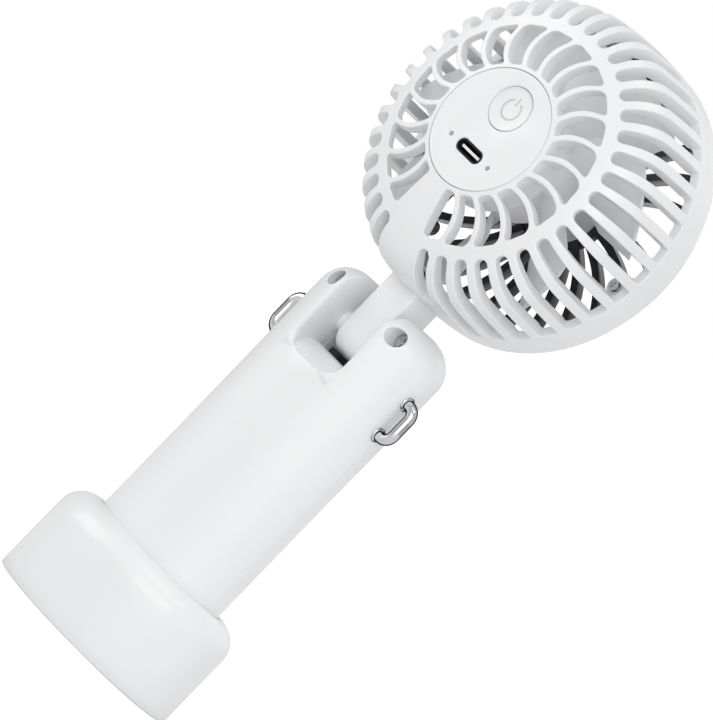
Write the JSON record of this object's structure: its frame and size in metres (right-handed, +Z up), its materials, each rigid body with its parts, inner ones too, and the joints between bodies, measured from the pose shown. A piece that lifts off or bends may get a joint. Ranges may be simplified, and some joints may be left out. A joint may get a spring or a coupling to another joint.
{
  "type": "handheld electric fan",
  "caption": "Handheld fan with a round ribbed head that folds back on an oval handle, a round control disc and a separate oval base cup",
  "frame": {"origin": "centre of the base's underside, on the surface that the fan stands on", "axes": "+Z up along the handle; -Y the way the air blows, so the control disc faces +Y; +X to the right of someone who faces the outlet's back from the front side looking along +Y"},
  "size_m": [0.0838, 0.0483, 0.2007],
  "materials": {
    "white_shell": "smooth white moulding with a soft gloss",
    "white_inner": "plain white moulding, a little greyer, on the impeller, the washers and the floor plate",
    "rubber": "soft dark grey anti-slip pad",
    "bright_chrome": "polished chrome plating",
    "dark_grille": "dark chrome plating on the front grille",
    "steel": "turned and drawn steel",
    "socket_metal": "dark plated shell of the charging socket",
    "cell_wrap": null,
    "board": "green circuit board laminate",
    "black_plastic": "black moulded plastic",
    "wire": "black wire insulation",
    "copper_wire": "enamelled copper winding",
    "magnet": "sintered magnet ring",
    "lens": "milky light pipe"
  },
  "bodies": {
    "base": {"base_cup": "white_shell", "base_floor": "white_inner", "rubber_foot": "rubber"},
    "handle": {"handle_rear_shell": "white_shell", "handle_front_shell": "white_shell", "shell_screws": "steel", "battery_cells": "cell_wrap", "protection_board": "board", "battery_lead": "wire", "wire_grommet": "wire", "lanyard_loop_left": "bright_chrome", "lanyard_loop_right": "bright_chrome", "hinge_pin": "steel", "hinge_washers": "white_inner"},
    "head": {"neck_arm": "white_shell", "rear_housing": "white_shell", "control_disc": "white_shell", "control_board": "board", "button_switch": "black_plastic", "socket_shell": "socket_metal", "socket_tongue": "white_inner", "indicator_lenses": "lens", "head_lead": "wire", "motor_bracket": "steel", "motor_screws": "steel", "bearings": "steel", "stator_core": "steel", "stator_coils": "copper_wire", "front_grille": "dark_grille", "grille_cap": "bright_chrome", "grille_screws": "bright_chrome"},
    "rotor": {"rotor_can": "steel", "rotor_magnets": "magnet", "motor_shaft": "steel", "impeller": "white_inner"},
    "button": {"power_button": "white_shell"}
  },
  "joints": [
    {"name": "handle_lift", "type": "slide", "parent": "base", "child": "handle", "axis": [0, 0, 1], "range_m": [0, 0.03]},
    {"name": "head_fold", "type": "hinge", "parent": "handle", "child": "head", "pos_m": [0, 0.001, 0.1006], "axis": [-1, 0, 0], "range_deg": [0, 90]},
    {"name": "impeller_spin", "type": "hinge", "parent": "head", "child": "rotor", "pos_m": [0, 0, 0.1587], "axis": [0, -1, 0], "continuous": true},
    {"name": "button_press", "type": "slide", "parent": "head", "child": "button", "axis": [0, -1, 0], "range_m": [0, 0.0004], "stiffness_N_per_m": 500, "springref_m": -0.0006}
  ]
}
